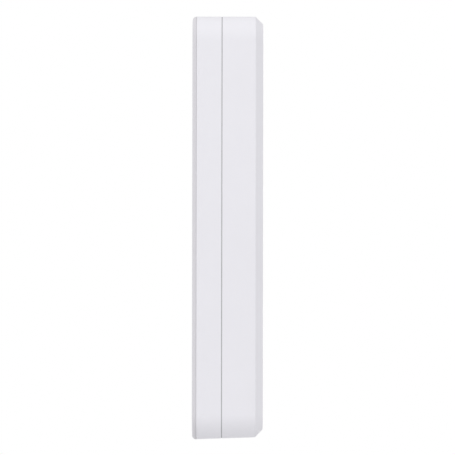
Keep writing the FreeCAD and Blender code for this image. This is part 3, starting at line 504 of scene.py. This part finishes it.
# In millimetres. What the CAD's boxes don't give repeats a named size of the CAD.
WIDTH, HEIGHT = size("wall_plate")
CORNER = 8.0
SLOPE = 0.0335
CHAMFER = 2.4
WALL = 1.8
FACE_WALL = 1.8
REBATE = 0.85
FIT_GAP = 0.1
ROUND_END_SLACK = 0.001
POST_RADIUS = 3.0
POST_BORE = 1.11
MIC_HOLE_RADIUS = 0.7
SLOT_WIDTH = 18.0
SLOT_HEIGHT = 1.2
SLOT_PITCH = 2.6
PANEL_CORNER = 5.0
PANEL_LEDGE = 2.0
LENS_HOLE = 8.45
GLASS_HOLE = 6.5
GLASS_LEDGE = 5.9
GLASS_RADIUS = 6.48
GLASS_CROWN = 3.0         # radius of the middle ring of the glass's dome
LENS_FLANGE = 9.6         # radius of the trim ring's flange behind the panel
TRIM_EDGE = 8.4           # radius of the trim ring where it shows in the panel
LENS_RADIUS = 3.6
APERTURE = 2.2
LENS_FIT = 0.02
CROWN_ANGLE = 1.25
CROWN_HEIGHT = 0.95
MOTION_WIDTH = 12.0
MOTION_HEIGHT = 6.0
MOTION_FLANGE = 0.98
PIPE_X = 12.0
PIPE_RADIUS = 1.3
PIPE_HOLE = 1.35
BUTTON_RADIUS = 10.3
BUTTON_FLANGE = 11.9
BUTTON_BOSS = 2.6
BUTTON_STEP = 1.2
DISH_RADIUS = 9.4
DISH_DEPTH = 0.42
RING_INNER = 10.6
RING_OUTER = 12.4
RING_FLANGE = 14.0
RETURN_PAD_OUTER = 8.6
RETURN_PAD_INNER = 6.4

shell_back, FACE = depths("front_housing")
face_back = FACE - FACE_WALL
seal_front = depths("seam_gasket")[1]
board_front = depths("main_board")[1]
panel_back, panel_front = depths("camera_panel")
panel_x, panel_z = middle("camera_panel")
panel_w, panel_h = size("camera_panel")
camera_x, camera_z = middle("lens_ring")
motion_x, motion_z = middle("motion_lens")
button_x, button_z = middle("button_cap")
speaker_x, speaker_z = middle("speaker_frame")
mic_x, mic_z = middle("microphone_boot")
screw_spots = [(side * x, z) for x, z in ((16, 60), (17, 9), (16, -60)) for side in (1, -1)]


# ---------------------------------------------------------------- front housing

def face_openings():
    """Every opening in the face: its outline, and its profile from front to back."""
    seat = slab(
        panel_w + FIT_GAP * 2, panel_h + FIT_GAP * 2, PANEL_CORNER + FIT_GAP, panel_x, panel_z, 10,
    )
    ledge = -PANEL_LEDGE - FIT_GAP
    yield seat, [(FACE, 0.4), (FACE, 0, 0.14), (panel_back, 0), (panel_back, ledge), (face_back, ledge)]
    plain_hole = [(FACE, 0.4), (FACE, 0, 0.16), (face_back, 0)]
    yield disc(RING_OUTER + 0.05, button_x, button_z), plain_hole
    yield disc(MIC_HOLE_RADIUS, mic_x, mic_z, 32), plain_hole
    for step in (-2, -1, 0, 1, 2):
        slot_z = speaker_z + SLOT_PITCH * step
        slot_end = SLOT_HEIGHT / 2 - ROUND_END_SLACK
        yield slab(SLOT_WIDTH, SLOT_HEIGHT, slot_end, speaker_x, slot_z, 8), plain_hole


def front_shell():
    """The deep shell with its chamfered face, its openings and the screw posts."""
    shell = Builder()
    face_rim, inner_rim = shell.sweep(shell_outline, [
        (FACE, -CHAMFER - 0.7),
        (FACE, -CHAMFER, 0.2),
        (FACE - CHAMFER, 0, 0.25),
        (shell_back, 0, 0.12),
        (shell_back, -REBATE, 0.03),
        (seal_front, -REBATE),
        (seal_front, -WALL),
        (face_back, -WALL, 0.6),
        (face_back, -WALL - 1.2),
    ])
    loops = [shell.sweep(shape, profile) for shape, profile in face_openings()]
    shell.flat(face_rim, [outer for outer, inner in loops])
    shell.flat(inner_rim, [inner for outer, inner in loops])
    for x, z in screw_spots:
        shell.tube(x, z, POST_RADIUS, POST_BORE, board_front, face_back)
    shell.finish("front_shell", "white_shell", "doorbell", "front_housing")


# ---------------------------------------------------------------- camera panel and lens

def window_panel():
    """The dark window, with holes for the lens ring, movement window and light pipes."""
    panel = Builder()
    outline = slab(panel_w, panel_h, PANEL_CORNER, panel_x, panel_z, 10)
    front_rim, back_rim = panel.sweep(outline, [
        (panel_front, -0.8),
        (panel_front, 0, 0.22),
        (panel_back, 0, 0.05),
        (panel_back, -0.5),
    ])
    motion_end = MOTION_HEIGHT / 2 + 0.04
    holes = (
        disc(LENS_HOLE, camera_x, camera_z),
        slab(MOTION_WIDTH + FIT_GAP, MOTION_HEIGHT + FIT_GAP, motion_end, motion_x, motion_z, 12),
        disc(PIPE_HOLE, PIPE_X, motion_z, 32),
        disc(PIPE_HOLE, -PIPE_X, motion_z, 32),
    )
    hole_profile = [(panel_front, 0.3), (panel_front, 0, 0.12), (panel_back, 0)]
    loops = [panel.sweep(shape, hole_profile) for shape in holes]
    panel.flat(front_rim, [front for front, back in loops])
    panel.flat(back_rim, [back for front, back in loops])
    panel.finish("window_panel", "black_panel", "doorbell", "camera_panel")


def lens_trim():
    """The turned metal ring round the lens, with a flange behind the panel."""
    ring_back, ring_front = depths("lens_ring")
    glass_back, glass_front = depths("lens_cover")
    trim = Builder()
    trim.turned([
        (ring_back, GLASS_LEDGE),
        (ring_back, LENS_FLANGE, 0.1),
        (panel_back, LENS_FLANGE, 0.05),
        (panel_back, TRIM_EDGE),
        (ring_front, TRIM_EDGE, 0.18),
        (ring_front, 7.55, 0.06),
        (ring_front - 0.16, 7.42, 0.05),
        (ring_front - 0.16, 7.12, 0.05),
        (ring_front - 0.06, 7.0, 0.06),
        (glass_front + 0.12, GLASS_HOLE, 0.04),
        (glass_back, GLASS_HOLE),
        (glass_back, GLASS_LEDGE),
    ], camera_x, camera_z, 128)
    trim.finish("lens_trim_ring", "dark_metal", "doorbell", "lens_ring", sharp=50)


def cover_glass():
    """The slightly domed glass in the ring."""
    glass_back, glass_front = depths("lens_cover")
    cover = Builder()
    cover.turned([
        (glass_back, 0),
        (glass_back, GLASS_RADIUS, 0.08),
        (glass_front, GLASS_RADIUS, 0.15),
        (glass_front + 0.05, GLASS_CROWN),
        (glass_front + 0.06, 0),
    ], camera_x, camera_z, 128)
    cover.finish("lens_cover_glass", "lens_glass", "doorbell", "lens_cover")


def lens_barrel():
    """The barrel, whose mouth steps down in six baffles to the front lens."""
    barrel_back, barrel_front = depths("lens_barrel")
    lens_seat = barrel_front - 1.5
    baffles = []
    for i in range(6):
        radius = 5.0 - i * 0.26
        depth = barrel_front - 0.1 - i * 0.22
        baffles += [(depth, radius, 0.03), (depth - 0.14, radius - 0.04, 0.03)]
    barrel = Builder()
    barrel.turned([
        (barrel_back, APERTURE),
        (barrel_back, 4.4, 0.1),
        (barrel_back + 1.8, 4.4),
        (barrel_back + 1.8, 5.6, 0.1),
        (barrel_front, 5.6, 0.2),
        (barrel_front, 5.1, 0.04),
        *baffles,
        (lens_seat + 0.08, LENS_RADIUS),
        (lens_seat, LENS_RADIUS),
        (lens_seat, APERTURE),
        (barrel_back, APERTURE),
    ], camera_x, camera_z, 128)
    barrel.finish("lens_barrel_body", "barrel_black", "doorbell", "lens_barrel", sharp=50)


def front_lens():
    """The crowned front lens."""
    lens_back, lens_front = depths("lens_element")
    radius = LENS_RADIUS - LENS_FIT
    crown = []
    for i in range(21):
        angle = CROWN_ANGLE * i / 20
        depth = lens_front - CROWN_HEIGHT * (1 - math.cos(angle))
        crown.append((depth, radius * math.sin(angle) / math.sin(CROWN_ANGLE)))
    element = Builder()
    element.turned([(lens_back, 0), (lens_back, radius)] + crown[::-1], camera_x, camera_z, 96)
    element.finish("front_lens", "lens_coating", "doorbell", "lens_element", sharp=60)


# ---------------------------------------------------------------- motion window and light pipes

def motion_window():
    """The milky movement window, with a flange behind the panel."""
    motion_back, motion_front = depths("motion_lens")
    outline = slab(
        MOTION_WIDTH, MOTION_HEIGHT, MOTION_HEIGHT / 2 - ROUND_END_SLACK, motion_x, motion_z, 12,
    )
    window = Builder()
    front_loop, back_loop = window.sweep(outline, [
        (motion_front + 0.02, -1.2),
        (motion_front, 0, 0.3),
        (panel_back, 0),
        (panel_back, MOTION_FLANGE, 0.05),
        (motion_back, MOTION_FLANGE, 0.05),
        (motion_back, 0),
    ])
    window.flat(front_loop)
    window.flat(back_loop)
    window.finish("motion_window", "milky_lens", "doorbell", "motion_lens")


def light_pipes():
    """Two clear rods that bring light through the panel."""
    pipe_back, pipe_front = depths("light_pipes")
    pipes = Builder()
    for side in (1, -1):
        pipes.turned([
            (pipe_back, 0),
            (pipe_back, PIPE_RADIUS, 0.1),
            (pipe_front - 0.1, PIPE_RADIUS, 0.15),
            (pipe_front, 0.6),
            (pipe_front, 0),
        ], PIPE_X * side, motion_z, 48)
    pipes.finish("light_pipe_pair", "clear_pipe", "doorbell", "light_pipes")


# ---------------------------------------------------------------- button and light ring

def push_button():
    """The dished button cap, with its flange and the boss that meets the plunger."""
    cap_back, cap_front = depths("button_cap")
    flange_back = cap_back + BUTTON_STEP
    flange_front = flange_back + BUTTON_STEP
    dish = []
    for i in range(25):
        share = i / 24
        drop = DISH_DEPTH * (1 + math.cos(math.pi * share)) / 2
        dish.append((cap_front - drop, DISH_RADIUS * share))
    cap = Builder()
    cap.turned([
        (cap_back, 0),
        (cap_back, BUTTON_BOSS, 0.15),
        (flange_back, BUTTON_BOSS),
        (flange_back, BUTTON_FLANGE, 0.1),
        (flange_front, BUTTON_FLANGE, 0.1),
        (flange_front, BUTTON_RADIUS),
        (cap_front, BUTTON_RADIUS, 0.5),
        *dish[::-1],
    ], button_x, button_z, 128)
    cap.finish("push_button", "button_plastic", "button", "button_cap", sharp=50)


def return_pad():
    """The silicone ring under the cap."""
    pad_back, pad_front = depths("button_return_pad")
    pad = Builder()
    pad.turned([
        (pad_back, RETURN_PAD_INNER),
        (pad_back, RETURN_PAD_OUTER, 0.15),
        (pad_front, RETURN_PAD_OUTER, 0.15),
        (pad_front, RETURN_PAD_INNER, 0.15),
        (pad_back, RETURN_PAD_INNER),
    ], button_x, button_z)
    soft_ring = pad.finish("return_pad_ring", "silicone", "doorbell", "button_return_pad")
    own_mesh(soft_ring)


def button_light_ring():
    """The frosted ring round the button."""
    light_back, light_front = depths("light_ring")
    halo = Builder()
    halo.turned([
        (light_back, RING_INNER),
        (light_back, RING_FLANGE, 0.1),
        (face_back, RING_FLANGE, 0.1),
        (face_back, RING_OUTER),
        (light_front, RING_OUTER, 0.22),
        (light_front, RING_INNER, 0.3),
        (light_back, RING_INNER),
    ], button_x, button_z, 128)
    halo.finish("button_light_ring", "ring_diffuser", "doorbell", "light_ring", sharp=50)


front_shell()
window_panel()
lens_trim()
cover_glass()
lens_barrel()
front_lens()
motion_window()
light_pipes()
push_button()
return_pad()
button_light_ring()

# ---------------------------------------------------------------- carried-over nodes

# How much to round each carried-over node's edges, in millimetres.
EDGES = {
    "rear_housing": 0.1, "wall_plate": 0.1, "cable_foam": 0.12, "port_plug": 0.2,
    "terminal_screws": 0.1, "terminal_bushes": 0.08, "housing_screws": 0.08,
    "locking_screw": 0.08, "reset_button": 0.05, "seam_gasket": 0.05,
    "speaker_frame": 0.15, "speaker_gasket": 0.15, "speaker_magnet": 0.15,
    "speaker_cone": 0.06, "camera_frame": 0.08, "power_inductor": 0.3,
    "backup_cell": 0.4, "shield_can": 0.08, "image_sensor": 0.05, "ir_cut_filter": 0.04,
    "processor_and_memory": 0.06, "bridge_rectifier": 0.1, "button_switch": 0.1,
    "board_connectors": 0.08, "reset_switch": 0.08, "microphone": 0.06,
}
for name, width in EDGES.items():
    soften(nodes[name], width)

# ---------------------------------------------------------------- camera, light, floor

scene = bpy.context.scene
scene.view_settings.view_transform = "Standard"
scene.view_settings.look = "None"

FOCAL = 150.0
SENSOR = 36.0
NEAR_SIDE = -16 * MM
VIEW_SPAN = 144.359 * MM
VIEW_DEPTH = 11.1 * MM
VIEW_HEIGHT = 0.16 * MM
ROLL = math.radians(-0.09)

# A straight side view. VIEW_SPAN is how much of the plane at NEAR_SIDE the picture takes in.
distance = VIEW_SPAN * FOCAL / SENSOR
lens = bpy.data.cameras.new("camera")
lens.lens = FOCAL
lens.sensor_width = SENSOR
lens.clip_start = 0.01
camera = bpy.data.objects.new("camera", lens)
scene.collection.objects.link(camera)
camera.location = (NEAR_SIDE - distance, -VIEW_DEPTH, VIEW_HEIGHT)
camera.rotation_euler = Euler((math.pi / 2, ROLL, -math.pi / 2), "XYZ")
scene.camera = camera

WORLD_LEVEL = 0.85
WORLD_SLOPES = {"X": -0.15, "Y": 0.40}
KEY_WATTS = 7.2
FILL_WATTS = 3.5
FLOOR_Z = -0.25
FLOOR_RADIUS = 1.3
FLOOR_FADE = 0.45
FLOOR_COLOUR = (0.76, 0.76, 0.765)

def studio():
    """Light that changes evenly with direction, seen by the camera as plain white."""
    world = bpy.data.worlds.new("studio")
    scene.world = world
    world.use_nodes = True
    tree = world.node_tree
    direction = tree.nodes.new("ShaderNodeTexCoord")
    axes = tree.nodes.new("ShaderNodeSeparateXYZ")
    tree.links.new(direction.outputs["Generated"], axes.inputs["Vector"])
    glow = None
    for axis, slope in WORLD_SLOPES.items():
        step = tree.nodes.new("ShaderNodeMath")
        step.operation = "MULTIPLY_ADD"
        tree.links.new(axes.outputs[axis], step.inputs[0])
        step.inputs[1].default_value = slope
        step.inputs[2].default_value = WORLD_LEVEL
        if glow:
            tree.links.new(glow, step.inputs[2])
        glow = step.outputs[0]
    seen = tree.nodes.new("ShaderNodeLightPath")
    choose = tree.nodes.new("ShaderNodeMix")
    tree.links.new(seen.outputs["Is Camera Ray"], choose.inputs["Factor"])
    tree.links.new(glow, choose.inputs["A"])
    choose.inputs["B"].default_value = 1.0
    backdrop = tree.nodes["Background"]
    tree.links.new(choose.outputs["Result"], backdrop.inputs["Strength"])
    backdrop.inputs["Color"].default_value = (1.0, 1.0, 1.0, 1)


def softbox(name, toward, distance, width, height, watts):
    """A soft lamp that looks at the doorbell."""
    light = bpy.data.lights.new(name, "AREA")
    light.shape = "RECTANGLE"
    light.size = width
    light.size_y = height
    light.energy = watts
    lamp = bpy.data.objects.new(name, light)
    scene.collection.objects.link(lamp)
    way = Vector(toward).normalized()
    lamp.location = way * distance
    lamp.rotation_euler = way.to_track_quat("Z", "Y").to_euler()
    lamp.visible_camera = False


def pale_floor():
    """A pale floor under the doorbell, which fades into the backdrop."""
    mesh = bpy.data.meshes.new("floor")
    half = FLOOR_RADIUS
    corners = [(-half, -half), (half, -half), (half, half), (-half, half)]
    mesh.from_pydata([(x, y, FLOOR_Z) for x, y in corners], [], [(0, 1, 2, 3)])
    floor = bpy.data.objects.new("floor", mesh)
    scene.collection.objects.link(floor)
    ground = Shader("pale_floor", 0.7, specular=0.2)
    ground.colour(ground.ramp(ground.noise(300), [
        (0.3, tint(FLOOR_COLOUR, 0.98)),
        (0.7, tint(FLOOR_COLOUR, 1.02)),
    ]))
    span = ground.add("ShaderNodeVectorMath", operation="LENGTH")
    ground.link(ground.place, span.inputs[0])
    fade = ground.add("ShaderNodeMapRange", interpolation_type="SMOOTHSTEP")
    fade.inputs["From Min"].default_value = FLOOR_FADE
    fade.inputs["From Max"].default_value = FLOOR_RADIUS
    fade.inputs["To Min"].default_value = 1.0
    fade.inputs["To Max"].default_value = 0.0
    ground.link(span.outputs["Value"], fade.inputs["Value"])
    ground.link(fade.outputs["Result"], ground.bsdf.inputs["Alpha"])
    mesh.materials.append(ground.material)


studio()
softbox("key_light", (-0.5, -0.6, 0.58), 2.0, 0.83, 0.67, KEY_WATTS)
softbox("fill_light", (0.75, -0.66, 0.05), 1.2, 0.25, 0.8, FILL_WATTS)
pale_floor()

bpy.context.view_layer.update()
